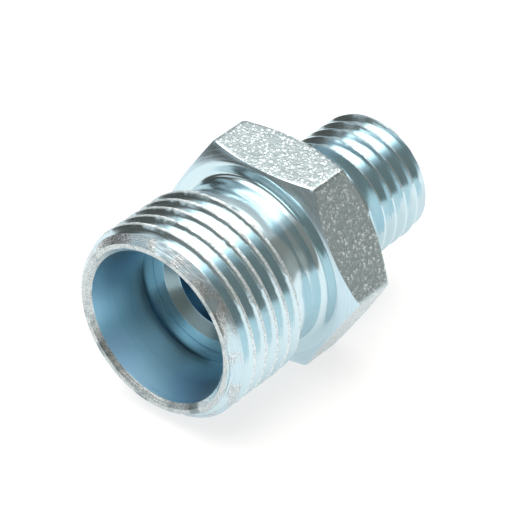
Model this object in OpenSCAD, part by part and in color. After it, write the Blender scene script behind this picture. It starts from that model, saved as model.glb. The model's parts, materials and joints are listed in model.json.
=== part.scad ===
// Straight reducing adapter for metric compression tube fittings.
// One turned steel body lies on a flat of its hexagon. Its axis runs along X, large end at -X.
// Both male threads are turned blanks at their major diameters, with lead and run-out.
// At each end a male thread surrounds a 24 degree cone, a tube socket and a tube stop.

/* [Overall] */
// Length from the large end face to the small end face
body_length = 30.4; // [29:0.1:36]

/* [Hexagon] */
// Distance across the flats, a 19 mm spanner size less its clearance
hex_af = 18.9; // [18.6:0.1:24]
// Distance from the large end face to the hexagon's front face
hex_start = 13.0; // [12.4:0.1:14]
// Width of the hexagon between its two faces
hex_width = 5.95; // [5:0.05:7]
// Diameter of the flat ring on each hexagon face, where its chamfer starts
hex_face_d = 18.3; // [17.4:0.1:18.5]
// Angle of the chamfer from the hexagon's face
hex_chamfer_angle = 30; // [20:1:35]

/* [Large end outside] */
// Major diameter of the large thread
large_thread_d = 18; // [17.6:0.05:18.2]
// Distance from the large end face to the end of the full thread
large_thread_length = 8.5; // [7.5:0.1:8.8]
// Length of the lead chamfer at the large end
large_lead_length = 1.0; // [0.5:0.1:1.4]
// Diameter of the relief between the large thread and the hexagon
large_relief_d = 15.6; // [15.2:0.1:15.9]
// Length of the relief at its full depth, fillet included
large_relief_length = 2.1; // [1.2:0.1:2.4]
// Radius of the fillet between the large relief and the hexagon
large_fillet = 0.6; // [0.2:0.1:0.9]

/* [Large end inside] */
// Diameter of the large tube socket, a 12 mm tube and its clearance
large_socket_d = 12.2; // [12.05:0.05:12.4]
// Distance from the large end face to the tube stop
large_stop_depth = 7.0; // [6.6:0.1:7.6]
// Diameter of the 24 degree cone at its wide end
large_cone_d = 14.4; // [14:0.1:14.6]
// Width of the small chamfer round the large mouth
large_lip = 0.4; // [0.2:0.05:0.5]
// Diameter where the tube stop meets the countersink of the large bore
large_stop_d = 9.8; // [9.2:0.1:10.4]
// Diameter of the large bore
large_bore_d = 8.0; // [7:0.1:8.4]
// Distance from the large end face to the full-width end of the large bore
large_bore_depth = 16.0; // [12:0.5:18]

/* [Small end outside] */
// Major diameter of the small thread
small_thread_d = 12; // [11.7:0.05:12.2]
// Distance from the small end face to the end of the full thread
small_thread_length = 7.3; // [6:0.1:7.6]
// Length of the lead chamfer at the small end
small_lead_length = 0.8; // [0.4:0.1:1.2]
// Diameter of the relief between the small thread and the hexagon
small_relief_d = 9.7; // [9.3:0.1:9.9]
// Length of the relief at its full depth, fillet included
small_relief_length = 1.6; // [1:0.1:2]
// Radius of the fillet between the small relief and the hexagon
small_fillet = 0.6; // [0.2:0.1:0.9]

/* [Small end inside] */
// Diameter of the small tube socket, a 6 mm tube and its clearance
small_socket_d = 6.2; // [6.05:0.05:6.3]
// Distance from the small end face to the tube stop
small_stop_depth = 7.0; // [6.6:0.1:7.6]
// Diameter of the 24 degree cone at its wide end
small_cone_d = 8.1; // [7.9:0.1:8.3]
// Width of the small chamfer round the small mouth
small_lip = 0.3; // [0.15:0.05:0.4]
// Diameter of the small bore, the narrowest part of the passage
small_bore_d = 4.0; // [3:0.1:4.6]

/* [Shared] */
// Depth of both threads, down to the plain band behind each run-out
thread_depth = 0.96; // [0.8:0.02:1]
// Half of the cone's angle, the same at both ends
cone_half_angle = 12; // [10:0.5:14]
// Angle of the lead chamfers from the axis
lead_angle = 30; // [25:1:45]
// Angle of the slope at the end of each thread, from the axis
runout_angle = 45; // [40:1:60]
// Angle of the slope from the thread's root down to the relief, from the axis
relief_angle = 17; // [12:1:30]
// Angle of the drill point at the end of the large bore
drill_point_angle = 118; // [90:2:140]
// Angle between the sides of the countersink at the large bore
countersink_angle = 90; // [60:5:120]

/* [Hidden] */
$fn = 96;

steel = [0.74, 0.80, 0.83];
overlap = 0.5;  // how far each cutter reaches past the face that it opens
fillet_steps = 6;

hex_end = hex_start + hex_width;
hex_corner_r = hex_af / sqrt(3);
hex_face_r = hex_face_d / 2;
chamfer_depth = (hex_corner_r + overlap - hex_face_r) * tan(hex_chamfer_angle);

large_lead_r = large_thread_d / 2 - large_lead_length * tan(lead_angle);
small_lead_r = small_thread_d / 2 - small_lead_length * tan(lead_angle);
large_root_r = large_thread_d / 2 - thread_depth;
small_root_r = small_thread_d / 2 - thread_depth;
runout_length = thread_depth / tan(runout_angle);

countersink_depth = (large_stop_d - large_bore_d) / 2 / tan(countersink_angle / 2);
drill_point_length = (large_bore_d - small_bore_d) / 2 / tan(drill_point_angle / 2);

// Length of the cone that narrows from one diameter to another
function cone_length(wide_d, narrow_d) = (wide_d - narrow_d) / 2 / tan(cone_half_angle);

// Points of a concave fillet that leaves a cylinder and ends square on a face, as [radius, place]
function fillet_points(relief_r, face_x, size) =
    [for (i = [0:fillet_steps])
        let (turn = 90 * i / fillet_steps)
        [relief_r + size * (1 - cos(turn)), face_x - size * (1 - sin(turn))]];

// Half section of one end's blank, from its end face at 0 to inside the hexagon, as [radius, place]
function end_section(thread_r, lead_r, lead_length, thread_length, root_r, relief_r, relief_length,
        face_x, size) =
    let (relief_start = face_x - relief_length)
    concat(
        [[0, 0], [lead_r, 0], [thread_r, lead_length], [thread_r, thread_length],
         [root_r, thread_length + runout_length],
         [root_r, relief_start - (root_r - relief_r) / tan(relief_angle)], [relief_r, relief_start]],
        fillet_points(relief_r, face_x, size),
        [[relief_r + size, face_x + overlap], [0, face_x + overlap]]);

// Half section of one tube seat, from outside its mouth to its stop, as [radius, place]
function seat_section(cone_d, socket_d, lip, stop_depth) =
    let (cone_end = lip + cone_length(cone_d, socket_d))
    [[0, -overlap], [cone_d / 2 + lip + overlap, -overlap], [cone_d / 2, lip],
     [socket_d / 2, cone_end], [socket_d / 2, stop_depth], [0, stop_depth]];

// A solid of revolution about X, with its section's places measured along +X
module turned(section) {
    rotate([0, 90, 0]) rotate_extrude() polygon(section);
}

// The same, with its places measured back from the small end face
module turned_from_small_end(section) {
    translate([body_length, 0, 0]) mirror([1, 0, 0]) turned(section);
}

// Hexagon with its flats level at top and bottom, its two faces turned to a chamfer
module hexagon() {
    intersection() {
        translate([hex_start, 0, 0]) rotate([0, 90, 0]) rotate([0, 0, 30])
            cylinder(h = hex_width, r = hex_corner_r, $fn = 6);
        turned([
            [0, hex_start], [hex_face_r, hex_start],
            [hex_corner_r + overlap, hex_start + chamfer_depth],
            [hex_corner_r + overlap, hex_end - chamfer_depth],
            [hex_face_r, hex_end], [0, hex_end]]);
    }
}

// Outside of the large end, from its end face to inside the hexagon
module large_end() {
    turned(end_section(large_thread_d / 2, large_lead_r, large_lead_length, large_thread_length,
        large_root_r, large_relief_d / 2, large_relief_length, hex_start, large_fillet));
}

// Outside of the small end, the same way round
module small_end() {
    turned_from_small_end(end_section(small_thread_d / 2, small_lead_r, small_lead_length,
        small_thread_length, small_root_r, small_relief_d / 2, small_relief_length,
        body_length - hex_end, small_fillet));
}

// Passage through the body: two tube seats, a countersunk large bore and a small bore
module passage() {
    turned(seat_section(large_cone_d, large_socket_d, large_lip, large_stop_depth));
    turned_from_small_end(seat_section(small_cone_d, small_socket_d, small_lip, small_stop_depth));
    turned([
        [0, large_stop_depth - overlap], [large_stop_d / 2, large_stop_depth - overlap],
        [large_stop_d / 2, large_stop_depth], [large_bore_d / 2, large_stop_depth + countersink_depth],
        [large_bore_d / 2, large_bore_depth], [small_bore_d / 2, large_bore_depth + drill_point_length],
        [small_bore_d / 2, body_length - small_stop_depth + overlap],
        [0, body_length - small_stop_depth + overlap]]);
}

module adapter_body() {
    color(steel)
        translate([-body_length / 2, 0, hex_af / 2])
            difference() {
                union() {
                    large_end();
                    hexagon();
                    small_end();
                }
                passage();
            }
}

adapter_body();
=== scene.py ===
# %% [markdown]
# # A straight reducing adapter
#
# This fitting joins a thick hydraulic tube to a thin one. It is a single piece of steel: a hexagon
# forged to size, with a threaded, hollow end turned on each side of it. The packed model already
# holds the part's true size, but its threaded ends are plain blanks. The blanks could be painted
# with a picture of a thread, but their outline would stay smooth where the real part has crests.
# So the steps below build the part again as one closed mesh with real helical threads and a grainy
# hexagon, give each kind of surface its own finish, and set it on a pale floor under soft light.

# %% Load the frame
import json
from math import atan2, cos, pi, radians, sin, sqrt, tan

import bpy
import numpy as np
from mathutils import Matrix, Vector, noise


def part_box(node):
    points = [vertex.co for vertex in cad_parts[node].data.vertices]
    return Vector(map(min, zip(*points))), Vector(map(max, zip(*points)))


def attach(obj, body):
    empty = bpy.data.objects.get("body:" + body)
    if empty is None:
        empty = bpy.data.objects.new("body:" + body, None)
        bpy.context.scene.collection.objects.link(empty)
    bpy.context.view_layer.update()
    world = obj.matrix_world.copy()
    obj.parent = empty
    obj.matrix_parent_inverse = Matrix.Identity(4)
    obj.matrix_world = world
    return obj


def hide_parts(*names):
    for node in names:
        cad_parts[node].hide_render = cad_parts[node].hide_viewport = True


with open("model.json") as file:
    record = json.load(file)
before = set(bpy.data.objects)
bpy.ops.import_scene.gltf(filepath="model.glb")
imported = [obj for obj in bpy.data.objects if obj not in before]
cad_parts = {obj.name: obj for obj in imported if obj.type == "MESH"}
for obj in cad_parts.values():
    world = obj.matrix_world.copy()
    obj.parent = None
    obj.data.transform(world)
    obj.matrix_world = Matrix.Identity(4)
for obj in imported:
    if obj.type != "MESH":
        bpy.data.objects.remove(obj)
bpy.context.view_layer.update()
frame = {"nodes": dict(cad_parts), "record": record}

NODE = "adapter_body"
MM = 0.001
node_low, node_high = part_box(NODE)
mounts = {mount["name"]: mount["dims"] for mount in frame["record"]["mounts"]}
print("frame holds", list(frame["nodes"]), "with mounts", list(mounts))

# %% [markdown]
# ## The sizes
#
# A turner reads a fitting like this as a list of diameters and places along the axis. All of them
# are in millimetres, and a place is always the distance from the large end face. They could all be
# typed in, but what the frame can say comes from the frame, so that the two can't drift apart: the
# overall length, the width across the flats and both thread sizes.

# %% Sizes of the body
body_length = (node_high[0] - node_low[0]) / MM
hex_af = (node_high[2] - node_low[2]) / MM
hex_flat_r = hex_af / 2
hex_start = 13.0
hex_end = 18.95
hex_face_r = 9.15
large_r = mounts["large_thread"]["r_mm"]
small_r = mounts["small_thread"]["r_mm"]
print(f"body {body_length:.2f} long, {hex_af:.2f} across the flats, threads {large_r} and {small_r}")

# %% [markdown]
# ## The form of the thread
#
# A metric thread is a groove with sides at 60 degrees and a round root, wound round the blank once
# for each pitch. It could be swept along a helix and cut out of a cylinder, which is slow and often
# leaves slivers. Here the groove is a sum instead: how deep it is at a distance from the middle of
# the crest. Any point on the body can then ask for its own depth.

# %% Thread form
pitch = 1.5
crest_half = 0.094
root_round = 0.2165
flank_slope = 1 / tan(radians(30))
root_start = pitch / 2 - root_round * sin(radians(60))
thread_depth = (root_start - crest_half) * flank_slope + root_round * (1 - cos(radians(60)))


def groove_depth(from_crest):
    """Depth of the groove at a distance from the middle of the crest, its root round."""
    if from_crest < root_start:
        return max(from_crest - crest_half, 0) * flank_slope
    return thread_depth - root_round + sqrt(root_round ** 2 - (pitch / 2 - from_crest) ** 2)


print(f"groove {thread_depth:.3f} deep, with a crest {2 * crest_half:.3f} wide at each pitch of {pitch}")

# %% [markdown]
# ## Torn crests
#
# The tool leaves the real crests ragged: thin metal tears where the two sides of a groove meet. A
# bump would not reach the outline, where the tears show most. So a few hundredths of a millimetre
# come off the crest itself, by one slow and one quick noise that both follow the helix.

# %% Radius of a thread
mean_tear = 0.03
long_tear = 0.02
short_tear = 0.04
long_tears_per_mm = 2.2
short_tears_per_mm = 5.1
tears_across_per_mm = 6


def torn_off(along, from_crest, thread):
    """Metal lost on a crest, at a distance along the helix and one across it."""
    slow = noise.noise(Vector((along * long_tears_per_mm, thread["major_r"], 3.7)))
    quick = noise.noise(Vector((along * short_tears_per_mm, from_crest * tears_across_per_mm, 9.1)))
    return thread["tear"] * (mean_tear + long_tear * slow + short_tear * quick)


def thread_radius(place, turn, thread):
    """Radius of a thread at a place and a turn in degrees."""
    turns = (place - thread["crest_top"]) / pitch - turn / 360
    crest = round(turns)
    from_crest = (turns - crest) * pitch
    along = (crest + turn / 360) * 2 * pi * thread["major_r"]
    top = thread["major_r"] - torn_off(along, from_crest, thread)
    return min(thread["major_r"] - groove_depth(abs(from_crest)), top)


print(f"crests lose up to {mean_tear + long_tear + short_tear:.2f} mm where they are torn most")

# %% [markdown]
# ## The blank's outline
#
# Seen in section, the outside is a chain of short straight lines with one fillet on each side of the
# hexagon. The lead is where a thread begins: it is cut at 45 degrees down to about the root, as in
# the photograph, where the packed blank has a shallower one. The outline could be a curve object,
# but pairs of place and radius are all that the rings below need.

# %% Outline of the blank
large_blank = [(0.0, 8.05), (0.95, large_r), (8.42, large_r), (9.0, 8.05), (10.1, 8.05), (10.9, 7.8)]
small_blank = [(20.55, 4.85), (21.2, 5.04), (22.5, 5.04), (23.05, small_r), (29.6, small_r), (30.4, 5.2)]
large_relief_r = 7.8
small_relief_r = 4.85
relief_places = (11.4, 11.9)
fillet = 0.6


def blank_radius(place, outline):
    """Radius of a turned outline at a place."""
    return float(np.interp(place, [p for p, r in outline], [r for p, r in outline]))


print("middle of each thread has radius", blank_radius(5, large_blank), "and", blank_radius(26, small_blank))

# %% [markdown]
# ## The hexagon's outline
#
# Forged corners are never sharp. A bevel modifier could round them, if the threads were kept out of
# its reach. It is simpler to work out the radius of the hexagon's side for each turn: a straight
# flat, and an arc of 0.45 mm at each corner that touches both flats.

# %% Outline of the hexagon
hex_corner_round = 0.45
corner_centre = (hex_flat_r - hex_corner_round) / cos(radians(30))
rounded_from = atan2(hex_corner_round * sin(radians(30)),
                     corner_centre + hex_corner_round * cos(radians(30)))


def hex_radius(turn):
    """Distance from the axis to the hexagon's side at a turn in degrees."""
    from_flat = radians((turn + 30) % 60 - 30)
    from_corner = radians(30) - abs(from_flat)
    if from_corner < rounded_from:
        reach = hex_corner_round ** 2 - (corner_centre * sin(from_corner)) ** 2
        return corner_centre * cos(from_corner) + sqrt(reach)
    return hex_flat_r / cos(from_flat)


print("hexagon reaches", round(hex_radius(30), 2), "at a corner and", round(hex_radius(0), 2), "on a flat")

# %% [markdown]
# ## The skin
#
# The whole surface is one long strip of rings: along the outside from the large mouth to the small
# one, and back through the passage. Separate cylinders could be joined by booleans, but a single
# strip is closed by nature and needs no repair. Each ring has a point at every column, with extra
# columns beside the six corners so that their rounding shows. Between two rings lies a band, and
# each band carries the number of its finish.

# %% Columns and rings
TURNED, CREST, FORGED, SEAT, END, BORE, CHAMFER = range(7)
hex_corners = range(30, 360, 60)
beside_corner = 0.5
columns = sorted(set(range(361)).union(
    corner + side * beside_corner for corner in hex_corners for side in (-1, 1)))
rings = []


def ring(point_at, finish):
    """Add a ring: point_at(turn) gives (place, radius), and finish is that of the band after it."""
    rings.append(([point_at(turn) for turn in columns], finish))


def round_ring(place, radius, finish):
    """Add a plain circle."""
    ring(lambda turn: (place, radius), finish)


def fillet_rings(centre_place, centre_r, start, end):
    """Add circles along a fillet's arc, from one angle to another."""
    steps = 8
    for step in range(steps + 1):
        angle = radians(start + (end - start) * step / steps)
        round_ring(centre_place + fillet * cos(angle), centre_r + fillet * sin(angle), TURNED)


print(len(columns), "columns")

# %% [markdown]
# ## Rows along the helix
#
# Rings that are simply pushed inwards would cut across the slanting groove and give stepped, blurred
# crests. Here each row of points follows the helix itself: going once round the body it slides along
# by one pitch, and ends where the row of the next turn begins. Crest edges stay crisp at any angle.
# At every point the smaller of the thread's radius and the blank's is the metal that is left, so the
# lead and the run-out cut the thread off where the turner's tool did.

# %% Rows of a thread
crest_rows = [-0.15, -crest_half, 0, crest_half, 0.15, 0.35]
root_rows = [root_start, 0.65, 0.75, 0.85, pitch - root_start, 1.15]
spare = 0.3
lead_reach = 1.15
lead_skin = 0.3
lead_tear = 0.02
lead_tears_per_mm = 5
lead_tears_per_degree = 0.4
crest_zone = 0.5

large_thread = {
    "major_r": large_r, "crest_top": 2.1, "zone": (0.0, 9.3), "blank": large_blank,
    "end_place": 0.0, "lead_finish": CHAMFER, "crest_band": 0.10, "tear": 1.0}
small_thread = {
    "major_r": small_r, "crest_top": 23.45, "zone": (21.9, body_length), "blank": small_blank,
    "end_place": body_length, "lead_finish": TURNED, "crest_band": 0, "tear": 0.25}


def thread_rings(thread):
    """Add the sliding rows of one thread, cut off where its zone starts and ends."""
    first, last = thread["zone"]

    def finish_at(place, radius):
        below = blank_radius(place, thread["blank"]) - radius
        if abs(place - thread["end_place"]) < lead_reach and below < lead_skin:
            return thread["lead_finish"]
        on_crest = below < thread["crest_band"] and radius > thread["major_r"] - crest_zone
        return CREST if on_crest else TURNED

    def row_point(base, turn):
        place = min(max(base + pitch * turn / 360, first), last)
        blank = blank_radius(place, thread["blank"])
        if abs(place - thread["end_place"]) < lead_reach:
            rough = noise.noise(Vector((place * lead_tears_per_mm, turn * lead_tears_per_degree,
                                        thread["major_r"])))
            blank -= thread["tear"] * lead_tear * (1 - rough)
        return place, min(blank, thread_radius(place, turn, thread))

    lowest = int((first - pitch - thread["crest_top"]) // pitch)
    highest = int((last - thread["crest_top"]) // pitch) + 1
    for crest in range(lowest, highest + 1):
        for offset in crest_rows + root_rows:
            base = thread["crest_top"] + crest * pitch + offset
            if first - pitch - spare < base < last + spare:
                ring(lambda turn: row_point(base, turn), finish_at)


print(len(crest_rows + root_rows), "rows of points in each pitch")

# %% [markdown]
# ## The chamfers
#
# Both faces of the hexagon were turned to a chamfer of 30 degrees, which is why each flat ends in a
# curve. It could be cut with a boolean cone; here the place of the flat's end follows from the
# hexagon's radius at each turn. The chamfer is slightly crowned: a straight cone would reflect one
# plain tone, where the real one shades from its inner edge to its outer one.

# %% Rings of a chamfer
chamfer_slope = tan(radians(30))
chamfer_steps = 6
chamfer_reach = 0.96
chamfer_crown = 0.06


def chamfer_end(turn):
    """How far the chamfer reaches along the axis at a turn."""
    return (hex_radius(turn) - hex_face_r) * chamfer_slope


def chamfer_ring(face, inward, step):
    """Add a circle on a chamfer, step by step from its face ring to the flats."""
    share = step / chamfer_steps

    def point_at(turn):
        depth = chamfer_end(turn)
        place = face + inward * (chamfer_reach * share * depth - chamfer_crown * depth * sin(pi * share))
        return place, hex_face_r + chamfer_reach * share * (hex_radius(turn) - hex_face_r)
    ring(point_at, CHAMFER)


print(f"chamfer reaches {chamfer_end(30):.2f} along the axis at a corner, {chamfer_end(0):.2f} on a flat")

# %% [markdown]
# ## The forged flats
#
# The hexagon's flats were never machined: they keep the skin of the forging. A bump alone would
# leave their edges ruler-straight, so their points also dip by about a hundredth of a millimetre, by
# two layers of noise. The first and last rows lie lower still, where handling has worn the edges.

# %% Rings of the hexagon
flat_rows = 28
flat_inset = 0.06
forged_depth = 0.012
dips_round = 1.15
slow_dips_per_mm = 1.1
quick_dips_per_mm = 2.3
edge_wear = 0.009
front_face_r = 8.7
back_face_r = 7.5


def forged_dip(place, turn):
    """How far a point of a flat lies below the flat, in millimetres."""
    angle = radians(turn)
    point = Vector((place, hex_flat_r * sin(angle) * dips_round, hex_flat_r * cos(angle) * dips_round))
    slow = noise.noise(point * slow_dips_per_mm)
    quick = noise.noise(point * quick_dips_per_mm + Vector((5, 1, 8)))
    return forged_depth * (0.5 + 0.5 * max(-1, min(1, slow + 0.5 * quick)))


def flat_ring(row):
    """Add a row of the six flats; the first and last rows are their worn edges."""
    def point_at(turn):
        start = hex_start + chamfer_end(turn)
        end = hex_end - chamfer_end(turn)
        place = start + flat_inset + (end - start - 2 * flat_inset) * row / flat_rows
        if row in (0, flat_rows):
            return place, hex_radius(turn) - forged_depth * 0.5 - edge_wear
        return place, hex_radius(turn) - forged_dip(place, turn)
    ring(point_at, FORGED)


def hexagon_rings():
    """Front face ring, chamfer, flats, chamfer and back face ring."""
    round_ring(hex_start, front_face_r, TURNED)
    for step in range(chamfer_steps + 1):
        chamfer_ring(hex_start, 1, step)
    for row in range(flat_rows + 1):
        flat_ring(row)
    for step in range(chamfer_steps, -1, -1):
        chamfer_ring(hex_end, -1, step)
    round_ring(hex_end, back_face_r, TURNED)


print("a flat dips by", round(forged_dip(16, 0), 4), "mm in its middle")

# %% [markdown]
# ## The outside, end to end
#
# Now the outside is walked as a turner would measure it: large thread, its relief groove with the
# fillet up to the hexagon, the hexagon, and the same at the small end in the other order. Rings
# could be added anyhow and sorted by place, but on a thread their places overlap.

# %% Rings of the outside
thread_rings(large_thread)
for place, radius in large_blank[-2:]:
    round_ring(place, radius, TURNED)
for place in relief_places:
    round_ring(place, large_relief_r, TURNED)
fillet_rings(hex_start - fillet, large_relief_r + fillet, 270, 360)
hexagon_rings()
fillet_rings(hex_end + fillet, small_relief_r + fillet, 180, 270)
for place, radius in small_blank[:2]:
    round_ring(place, radius, TURNED)
thread_rings(small_thread)
print(len(rings), "rings on the outside")

# %% [markdown]
# ## The passage
#
# A tube seat is a cone of 24 degrees that squeezes a cutting ring, a socket that centres the tube,
# and a stop face that the tube meets. Behind the large stop a countersink leads to the 8 mm bore,
# which the drill's point ends, and a 4 mm bore goes on to the small seat. It could be cut out of a
# solid, but the strip of rings just turns round at the small mouth and comes back inside.

# %% Rings of the passage
small_face_r = 4.9
large_face_radii = (7.6, 7.85)
small_seat = [(30.4, 4.35), (30.1, 4.05), (25.63, 3.1), (23.4, 3.1)]
bores = [(23.4, 3.1), (23.4, 2.0), (17.2, 2.0), (16.0, 4.0), (7.9, 4.0), (7.0, 4.9), (7.0, 6.1)]
large_seat = [(7.0, 6.1), (5.575, 6.1), (0.4, 7.2), (0.0, 7.6)]


def passage_rings(outline, finishes, steps):
    """Add circles along an outline, each stretch with its finish and cut into steps."""
    for (place, radius), (next_place, next_radius), finish, count in zip(
            outline, outline[1:], finishes, steps):
        for step in range(count):
            share = step / count
            round_ring(place + share * (next_place - place), radius + share * (next_radius - radius), finish)


round_ring(body_length, small_face_r, END)
passage_rings(small_seat, [END, SEAT, SEAT], [1, 6, 2])
passage_rings(bores, [BORE] * 6, [1, 3, 2, 5, 1, 1])
passage_rings(large_seat, [BORE, SEAT, END], [3, 8, 1])
for radius in large_face_radii:
    round_ring(0.0, radius, END)
print(len(rings), "rings in all")

# %% [markdown]
# ## From rings to points
#
# Where a row of the thread is cut off at the end of its zone many points fall on the same spot, and
# at the last column every row meets the next turn's row. Blender could merge points by distance
# afterwards, but then the finish of each band would be harder to follow. So points are rounded to a
# ten-thousandth of a millimetre first, and equal ones are made one.

# %% Points
merge_step = 1e-4
ring_points = np.array([points for points, finish in rings])


def merged_points():
    """All points in metres without doubles, and the number of each ring's points among them."""
    turns = np.radians(np.array(columns))
    place, radius = ring_points[..., 0], ring_points[..., 1]
    points = np.stack([place - body_length / 2, -radius * np.sin(turns),
                       radius * np.cos(turns) + hex_flat_r], -1)
    keys = np.round(points.reshape(-1, 3) / merge_step).astype(np.int64)
    unique, index = np.unique(keys, axis=0, return_inverse=True)
    return (unique * merge_step * MM).tolist(), index.reshape(len(rings), len(columns))


body_points, point_numbers = merged_points()
print(len(body_points), "points left of", ring_points.shape[0] * ring_points.shape[1])

# %% [markdown]
# ## From points to one closed mesh
#
# Neighbouring rings are joined by four-sided faces, and the last ring joins the first. A face that
# lost a corner to the merging becomes a triangle, and one that lost its area is dropped, which
# leaves a closed surface. The finish could be painted by hand; here a band says it, and on a thread
# the middle of each face decides between crest, lead and groove.

# %% Mesh
def band_finish(number, following, column):
    """The finish of one face of a band."""
    finish = rings[number][1]
    if callable(finish):
        around = ring_points[[number, number, following, following], [column, column + 1] * 2]
        return finish(*around.mean(axis=0))
    return finish


def body_faces():
    """The corners of all faces and the number of the finish of each."""
    corners, finish_numbers = [], []
    for number in range(len(rings)):
        following = (number + 1) % len(rings)
        for column in range(len(columns) - 1):
            quad = [point_numbers[number, column], point_numbers[following, column],
                    point_numbers[following, column + 1], point_numbers[number, column + 1]]
            face = [int(v) for v, before in zip(quad, quad[-1:] + quad[:-1]) if v != before]
            if len(set(face)) > 2 and len(set(face)) == len(face):
                corners.append(face)
                finish_numbers.append(band_finish(number, following, column))
    return corners, finish_numbers


face_corners, face_finishes = body_faces()
adapter_mesh = bpy.data.meshes.new("adapter")
adapter_mesh.from_pydata(body_points, [], face_corners)
adapter_mesh.polygons.foreach_set("material_index", face_finishes)
adapter_mesh.update()
adapter = bpy.data.objects.new("adapter", adapter_mesh)
bpy.context.scene.collection.objects.link(adapter)
print(len(adapter_mesh.vertices), "points,", len(adapter_mesh.polygons), "faces")

# %% [markdown]
# ## Smooth and sharp
#
# Light has to flow round the cylinders but break at the edges that a tool left. Extra rings beside
# every edge could do that, but it is simpler to shade all faces smooth and to mark an edge sharp
# where they turn by more than 28 degrees. Gentler changes, as from cone to socket, stay smooth.

# %% Shading of edges
sharp_angle = radians(28)
for polygon in adapter_mesh.polygons:
    polygon.use_smooth = True
adapter_mesh.set_sharp_from_angle(angle=sharp_angle)
print(sum(edge.use_edge_sharp for edge in adapter_mesh.edges), "sharp edges of", len(adapter_mesh.edges))

# %% [markdown]
# ## Shader maths
#
# Each finish is a short sum: so much noise, so many tool marks. Such sums could be wired node by
# node, which hides them. Here a wire is one output socket of a node, and Python's operators on it
# add the Math nodes that do the same sum in the shader.

# %% Wires
class Wire:
    """An output socket that can be used in sums."""

    def __init__(self, bench, socket):
        self.bench = bench
        self.socket = socket

    def math(self, operation, *values):
        return self.bench.node("ShaderNodeMath", {"operation": operation}, dict(enumerate(values)))

    def __add__(self, other):
        return self.math("ADD", self, other)

    def __sub__(self, other):
        return self.math("SUBTRACT", self, other)

    def __rsub__(self, other):
        return self.math("SUBTRACT", other, self)

    def __mul__(self, other):
        return self.math("MULTIPLY", self, other)

    def __truediv__(self, other):
        return self.math("DIVIDE", self, other)

    def __rtruediv__(self, other):
        return self.math("DIVIDE", other, self)

    __radd__ = __add__
    __rmul__ = __mul__


print("a wire knows", [name for name in vars(Wire) if name.startswith("__r") and name != "__repr__"])

# %% [markdown]
# ## A bench for nodes
#
# Every other node comes from one method, which takes the node's type, its settings and the values or
# wires of its sockets. Each could be made by hand in three or four lines, which would bury the sums.
# Settings go first, because some of them change which sockets a node has. The same bench serves
# materials and the room, since both are node trees with one main shader.

# %% Bench
class Bench:
    """The node tree of a material or a world, and its main shader."""

    def __init__(self, owner, shader):
        owner.use_nodes = True
        self.owner = owner
        self.tree = owner.node_tree
        self.shader = self.tree.nodes[shader]

    def node(self, kind, settings=None, values=None, output=0):
        made = self.tree.nodes.new(kind)
        for name, value in (settings or {}).items():
            setattr(made, name, value)
        for name, value in (values or {}).items():
            self.set(made, name, value)
        return Wire(self, made.outputs[output])

    def set(self, node, name, value):
        if isinstance(value, Wire):
            self.tree.links.new(value.socket, node.inputs[name])
        else:
            node.inputs[name].default_value = value

    def surface(self, **values):
        for name, value in values.items():
            self.set(self.shader, name.replace("_", " "), value)
        return self.owner


print("a bench has", [name for name in vars(Bench) if not name.startswith("_")])

# %% [markdown]
# ## Where a point lies on the body
#
# Turned marks run round the axis, so the finishes need the distance along the axis, the distance
# from it and the angle round it. An unwrapped picture could hold them, but it would stretch at the
# faces. They are worked out from object coordinates, in millimetres from the middle of the body.

# %% Body coordinates
def split(bench, vector):
    """The three parts of a vector."""
    made = bench.node("ShaderNodeSeparateXYZ", values={0: vector}).socket.node
    return [Wire(bench, output) for output in made.outputs]


def body_spot(bench):
    """The point in millimetres, its place along the axis, its radius and its turn."""
    centred = bench.node("ShaderNodeVectorMath", {"operation": "SUBTRACT"}, {
        0: bench.node("ShaderNodeTexCoord", output=3), 1: (0, 0, hex_flat_r * MM)})
    point = bench.node("ShaderNodeVectorMath", {"operation": "SCALE"}, {0: centred, "Scale": 1 / MM})
    x, y, z = split(bench, point)
    return {"point": point, "x": x, "radius": x.math("SQRT", y * y + z * z),
            "turn": y.math("ARCTAN2", y, z)}


print("the axis lies", round(hex_flat_r, 2), "mm above the floor")

# %% [markdown]
# ## Noise, marks and colours
#
# A handful of helpers make every finish: soft noise for stains and drift, small domes for the grain
# of the forging, and tool marks. A mark is a noise that changes quickly along or across the axis and
# slowly round it. Real rings vary in width and depth, which evenly spaced waves would not show.

# %% Helpers for finishes
def mottle(bench, vector, scale, detail=2.0):
    """Soft noise from about 0 to 1 at a scale per millimetre."""
    return bench.node("ShaderNodeTexNoise", {"noise_dimensions": "3D"},
                      {"Vector": vector, "Scale": scale, "Detail": detail, "Roughness": 0.5})


def fade(bench, value, start, end):
    """0 before start and 1 after end, with a smooth change between them."""
    return bench.node("ShaderNodeMapRange", {"interpolation_type": "SMOOTHSTEP"},
                      {"Value": value, "From Min": start, "From Max": end})


def grains(bench, point, scale):
    """Small domes: their height, 1 in the middle of each, and a random tone for each."""
    cells = [bench.node("ShaderNodeTexVoronoi", {"feature": "F1"}, {"Vector": point, "Scale": scale}, output)
             for output in (0, 1)]
    return 1 - cells[0] * cells[0], split(bench, cells[1])[0]


def tool_marks(bench, spot, closeness):
    """Rings left by a turning tool: quick to change along or across the axis, slow round it."""
    vector = bench.node("ShaderNodeCombineXYZ", values={
        0: spot["x"] * closeness, 1: spot["radius"] * closeness, 2: spot["turn"] * 0.8})
    return mottle(bench, vector, 1.0, detail=1.0)


def blend(bench, share, first, second):
    """Mix two colours by a share."""
    return bench.node("ShaderNodeMix", {"data_type": "RGBA"}, {0: share, 6: first, 7: second}, output=2)


def bump(bench, height, strength, distance_mm):
    """Normal from a height that varies from about 0 to 1."""
    return bench.node("ShaderNodeBump", values={
        "Strength": strength, "Distance": distance_mm * MM, "Height": height})


finishes = {}


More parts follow.
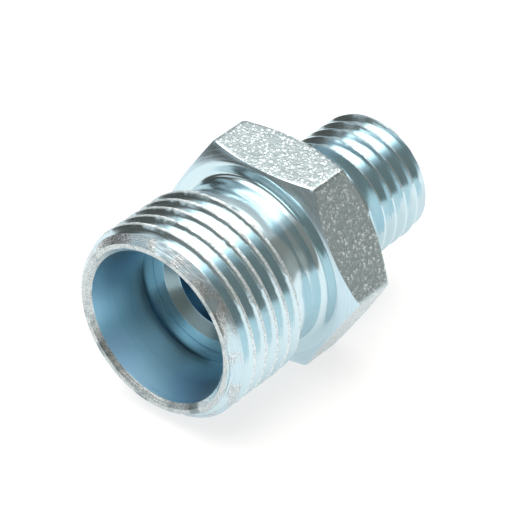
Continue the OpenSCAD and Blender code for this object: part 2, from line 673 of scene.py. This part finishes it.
def add_finish(band, paint):
    """Make the material that paint describes and keep it for its band."""
    bench = Bench(bpy.data.materials.new(paint.__name__), "Principled BSDF")
    paint(bench)
    finishes[band] = bench.owner


print("helpers are ready for", CHAMFER + 1, "finishes")

# %% [markdown]
# ## Zinc on turned steel
#
# Bright zinc with a thin blue passivation is nearly a mirror. Its colour is pale blue where it
# reflects once and grows deeper in the corners, where light bounces from metal to metal. A coat over
# plain steel could tint it, but a coloured metal gives the deeper blue in the corners by itself.
# Only the finest tool marks and a slight drift of colour break it up.

# %% Turned zinc
def turned_zinc(bench):
    """Nearly a mirror, with fine rings."""
    spot = body_spot(bench)
    drift = mottle(bench, spot["point"], 0.5)
    marks = tool_marks(bench, spot, closeness=9)
    bench.surface(
        Base_Color=blend(bench, drift, (0.52, 0.71, 0.78, 1), (0.62, 0.75, 0.79, 1)), Metallic=1.0,
        Roughness=0.1 + marks * 0.12, Normal=bump(bench, marks, 0.5, distance_mm=0.008))


add_finish(TURNED, turned_zinc)
print(face_finishes.count(TURNED), "faces are plain turned metal")

# %% [markdown]
# ## The lead and the chamfers
#
# The hexagon's chamfers and the large lead show close, bold rings. Along the lead the metal is torn
# in places and shows grey through the blue. Torn patches could be modelled one by one, but a slow
# noise that is held to the lead places them well enough, and a quick one roughens them.

# %% Zinc of the lead and the chamfers
torn_from_x = -14.1
torn_full_x = -14.3


def chamfer_zinc(bench):
    """Close, bold rings, and torn metal on the large lead."""
    spot = body_spot(bench)
    marks = tool_marks(bench, spot, closeness=15)
    grain = mottle(bench, spot["point"], 11, detail=3)
    patches = fade(bench, mottle(bench, spot["point"], 0.4, detail=3), 0.38, 0.62)
    torn = fade(bench, spot["x"], torn_from_x, torn_full_x) * patches
    zinc = blend(bench, marks, (0.38, 0.56, 0.65, 1), (0.66, 0.80, 0.86, 1))
    metal = blend(bench, fade(bench, grain, 0.35, 0.65), (0.24, 0.29, 0.31, 1), (0.82, 0.88, 0.89, 1))
    bench.surface(
        Base_Color=blend(bench, torn, zinc, metal), Metallic=1.0,
        Roughness=0.16 + marks * 0.16,
        Normal=bump(bench, marks * 0.4 + torn * grain, 1.0, distance_mm=0.022))


add_finish(CHAMFER, chamfer_zinc)
print("torn metal reaches", round(torn_from_x + body_length / 2, 2), "mm in from the large end face")

# %% [markdown]
# ## The crests
#
# Where the thread tool tore the large crests the zinc lies on rough metal and looks grey and grainy.
# The mesh has the tears that reach the outline; a rough, speckled finish adds those that are finer
# than its points.

# %% Zinc on the crests
def crest_zinc(bench):
    """Torn metal on the crests."""
    spot = body_spot(bench)
    grain = mottle(bench, spot["point"], 6, detail=3)
    bench.surface(
        Base_Color=blend(bench, fade(bench, grain, 0.35, 0.65), (0.50, 0.61, 0.65, 1), (0.86, 0.93, 0.95, 1)),
        Metallic=1.0, Roughness=0.30 + grain * 0.25, Normal=bump(bench, grain, 1.0, distance_mm=0.07))


add_finish(CREST, crest_zinc)
print(face_finishes.count(CREST), "faces lie on a crest")

# %% [markdown]
# ## The end faces
#
# The end faces were parted off and the lips of both mouths chamfered without much care, so they are
# duller than the rest, with darker stains. One even grey would look like paint; fine grain, faint
# rings and large soft stains together read as cut metal.

# %% Zinc on the end faces
def end_zinc(bench):
    """Parted-off end faces and the lips of both mouths."""
    spot = body_spot(bench)
    grain = mottle(bench, spot["point"], 9)
    stain = fade(bench, mottle(bench, spot["point"], 0.6, detail=3), 0.5, 0.66)
    marks = tool_marks(bench, spot, closeness=8)
    zinc = blend(bench, fade(bench, grain, 0.35, 0.65), (0.38, 0.44, 0.45, 1), (0.66, 0.72, 0.73, 1))
    bench.surface(
        Base_Color=blend(bench, stain, zinc, (0.24, 0.30, 0.32, 1)), Metallic=1.0,
        Roughness=0.22 + grain * 0.14, Normal=bump(bench, grain * 0.5 + marks, 1.0, distance_mm=0.02))


add_finish(END, end_zinc)
print(face_finishes.count(END), "faces lie on the ends and lips")

# %% [markdown]
# ## The forged flats
#
# The flats have the coarsest skin: small round grains from the forging. Plain
# noise makes clouds instead of grains. Two sizes of cells do better: each cell is a dome of its own
# height. On cells picked by their random tone, the tops of the domes are painted near white: a painted glint
# for grains that glint one by one.

# %% Zinc on the flats
def forged_zinc_painted_glints(bench):
    """Flats with the skin of the forging, and painted glints on the tops of the grains."""
    spot = body_spot(bench)
    dome, tone = grains(bench, spot["point"], 2.9)
    small_dome, small_tone = grains(bench, spot["point"], 6.0)
    chosen = fade(bench, tone * 0.5 + small_tone * 0.5, 0.3, 0.7)
    # Painted glint: the tops of the domes on the chosen grains are painted near white, over a darker ground.
    painted_glint = chosen * fade(bench, dome * 0.6 + small_dome * 0.4, 0.72, 0.9)
    bench.surface(
        Base_Color=blend(bench, painted_glint, (0.43, 0.52, 0.54, 1), (0.90, 0.98, 1.0, 1)), Metallic=1.0,
        Roughness=0.26 + painted_glint * 0.12,
        Normal=bump(bench, dome * tone + small_dome * 0.3, 1.0, distance_mm=0.02))


add_finish(FORGED, forged_zinc_painted_glints)
print(face_finishes.count(FORGED), "faces lie on the flats")

# %% [markdown]
# ## The cones
#
# Each cone was turned with a fine feed and shows brushed rings. Its walls light each other, which
# already deepens its blue, and a slow drift towards violet is where the passivation is thicker. It
# could share the outside's zinc, but it is duller than that. The small socket has the same finish.

# %% Zinc on the cones
def seat_zinc(bench):
    """The brushed cones and the small socket."""
    spot = body_spot(bench)
    marks = tool_marks(bench, spot, closeness=10)
    tint = fade(bench, mottle(bench, spot["point"], 0.16), 0.45, 0.65)
    blue = blend(bench, marks, (0.43, 0.67, 0.78, 1), (0.57, 0.77, 0.85, 1))
    bench.surface(
        Base_Color=blend(bench, tint * 0.5, blue, (0.50, 0.61, 0.80, 1)), Metallic=1.0,
        Roughness=0.24 + marks * 0.14, Normal=bump(bench, marks, 0.5, distance_mm=0.006))


add_finish(SEAT, seat_zinc)
print(face_finishes.count(SEAT), "faces lie on the cones and in the small socket")

# %% [markdown]
# ## Socket, stop and bores
#
# Behind the large cone the same zinc takes a different tone on each surface: a dark blue socket, a pale stop
# face, a grey countersink and a blue bore. The socket's dark blue and the countersink's grey are painted
# shade for the shade deep in the passage.
# Four materials could say that. The radius alone tells these surfaces apart, so one finish picks its colour
# by radius, and its edges are as crisp as the turned ones.

# %% Zinc in the bores
socket_r = (6.0, 6.08)
stop_r = (4.86, 4.92)
bore_r = (4.1, 4.02)


def bore_zinc_painted_shade(bench):
    """Socket, stop face, countersink and bores, with painted shade on the socket and the countersink."""
    spot = body_spot(bench)
    marks = tool_marks(bench, spot, closeness=7)
    socket = fade(bench, spot["radius"], *socket_r)
    stop = fade(bench, spot["radius"], *stop_r)
    bore = fade(bench, spot["radius"], *bore_r)
    # Painted shade: the countersink's grey here and the socket's dark blue below darken the same zinc deep in
    # the passage.
    countersink_shade_and_bore = blend(bench, bore, (0.26, 0.37, 0.40, 1), (0.34, 0.54, 0.66, 1))
    inner_tones_with_painted_shade = blend(bench, stop, countersink_shade_and_bore, (0.50, 0.68, 0.74, 1))
    bench.surface(
        Base_Color=blend(bench, socket, inner_tones_with_painted_shade, (0.25, 0.43, 0.54, 1)), Metallic=1.0,
        Roughness=0.18 + marks * 0.1 + socket * 0.06)


add_finish(BORE, bore_zinc_painted_shade)
print(face_finishes.count(BORE), "faces lie in the bores")

# %% [markdown]
# ## Finishes on the body
#
# The mesh's slots have to stand in the order of the band numbers, because each face only knows a
# number. Names could be looked up face by face, but numbers are what a mesh stores. The adapter then
# takes the place of the packed node and rides on the part's one body.

# %% Put the finishes on
for band in sorted(finishes):
    adapter_mesh.materials.append(finishes[band])
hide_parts(NODE)
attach(adapter, "root")
print("finishes", [material.name for material in adapter_mesh.materials])

# %% [markdown]
# ## The floor
#
# The adapter lies on a plain pale sheet. A lit floor alone would need a very strong lamp to come out
# as pale as in the photograph, and that lamp would then show in the metal. So the sheet is matt and
# glows a little: it stays pale, keeps a soft shadow, and lights the lower half of every thread.

# %% Floor
floor_low = (-0.30, -0.30)
floor_high = (0.30, 0.12)
floor_mesh = bpy.data.meshes.new("floor")
floor_corners = [(floor_low[0], floor_low[1], 0), (floor_high[0], floor_low[1], 0),
                 (floor_high[0], floor_high[1], 0), (floor_low[0], floor_high[1], 0)]
floor_mesh.from_pydata(floor_corners, [], [(0, 1, 2, 3)])
floor = bpy.data.objects.new("floor", floor_mesh)
bpy.context.scene.collection.objects.link(floor)
floor_mesh.materials.append(Bench(bpy.data.materials.new("pale_floor"), "Principled BSDF").surface(
    Base_Color=(0.3, 0.3, 0.3, 1), Roughness=0.8, Emission_Color=(1, 1, 1, 1), Emission_Strength=0.72))
print("floor", floor_high[0] - floor_low[0], "by", round(floor_high[1] - floor_low[1], 2), "m")

# %% [markdown]
# ## The light overhead
#
# A part that is nearly a mirror takes its look from what it reflects, so the light is drawn into the
# room itself and not hung as lamps. Overhead is a broad, soft, dim rectangle with a bright core: the
# rectangle gives the even tones and their clean edges, and the core gives the highlights. Where a
# direction meets the ceiling is its x and y divided by its z.

# %% Light overhead
softbox_light = (0.66, 0.66, 0.66, 1)
softbox_core = (4.1, 3.8, 3.6, 1)
softbox_sides = [(2.0, 1.5), (-1.5, -1.2), (1.7, 1.2), (-0.66, -0.57)]
core_sides = [(1.0, 0.65), (-0.9, -0.5), (1.2, 0.75), (-0.5, -0.1)]
lowest_rise = 0.02

room = Bench(bpy.data.worlds.new("room"), "Background")
bpy.context.scene.world = room.owner
room_x, room_y, room_z = split(room, room.node("ShaderNodeTexCoord", output=0))
rise = room_z.math("MAXIMUM", room_z, lowest_rise)
across, along = room_x / rise, room_y / rise


def overhead(sides):
    """1 inside a rectangle overhead; each side fades from 0 at its first value to 1 at its second."""
    right, left, back, front = sides
    return (fade(room, across, *right) * fade(room, across, *left)
            * fade(room, along, *back) * fade(room, along, *front))


softbox = overhead(softbox_sides)
lamp = blend(room, overhead(core_sides), softbox_light, softbox_core)
print("softbox fades between", softbox_sides)

# %% [markdown]
# ## The walls
#
# The walls decide how dark the dark tones are. A wall towards +Y is nearly black and draws the dark
# lines in the grooves; a low window glows in its -X part. The others are grey, a little lighter low
# on the right and a little bluer behind. The camera itself sees plain white, so that the background
# is as bare as in the photograph.

# %% Walls
dark_wall = (0.105, 0.095, 0.085, 1)
side_wall = (0.31, 0.29, 0.265, 1)
right_wall = (0.46, 0.45, 0.42, 1)
back_wall = (0.43, 0.47, 0.50, 1)
window_glow = (0.80, 0.81, 0.82, 1)
seen_backdrop = (1, 1, 1, 1)

low_right = fade(room, room_x, 0.3, 0.5) * fade(room, room_y, -0.4, -0.6) * fade(room, room_z, 0.4, 0.2)
behind = fade(room, room_y, 0.2, 0.5) * fade(room, room_x, 0.1, 0.5)
glow = (fade(room, room_y, 0.5, 0.65) * fade(room, room_x, -0.2, -0.3)
        * fade(room, room_z + room_x * 0.25, 0.05, 0.1) * fade(room, room_z, 0.55, 0.35))
wall = blend(room, fade(room, room_y, 0.3, 0.6), side_wall, dark_wall)
wall = blend(room, low_right, wall, right_wall)
wall = blend(room, behind, wall, back_wall)
wall = blend(room, glow, wall, window_glow)
camera_ray = room.node("ShaderNodeLightPath", output=0)
room.surface(Color=blend(room, camera_ray, blend(room, softbox, wall, lamp), seen_backdrop), Strength=1.0)
print("room has", len(room.tree.nodes), "nodes")

# %% [markdown]
# ## The camera
#
# The photograph looks down on the large mouth and one side of the body, as a long lens does from
# about 30 cm. The camera's angles, aim and lens were found by laying the drawn edges of the body over
# the photograph until they met. They could be kept as a bare matrix, but angles can be read.

# %% Camera
camera_azimuth = radians(-51.56)
camera_elevation = radians(37.09)
camera_roll = radians(1.8)
camera_distance = 0.3008
camera_aim = Vector((-1.22, 0.55, 9.06)) * MM

camera_data = bpy.data.cameras.new("camera")
camera_data.lens = 247.06
camera_data.sensor_width = 36
camera_data.clip_start = 0.01
camera = bpy.data.objects.new("camera", camera_data)
ahead = Vector((-sin(camera_azimuth) * cos(camera_elevation),
                cos(camera_azimuth) * cos(camera_elevation), -sin(camera_elevation)))
turned = ahead.to_track_quat("-Z", "Y").to_matrix() @ Matrix.Rotation(camera_roll, 3, "Z")
camera.matrix_world = Matrix.Translation(camera_aim - ahead * camera_distance) @ turned.to_4x4()
bpy.context.scene.collection.objects.link(camera)
bpy.context.scene.camera = camera
bpy.context.scene.view_settings.view_transform = "Standard"
print("camera stands at", [round(value, 3) for value in camera.matrix_world.translation])
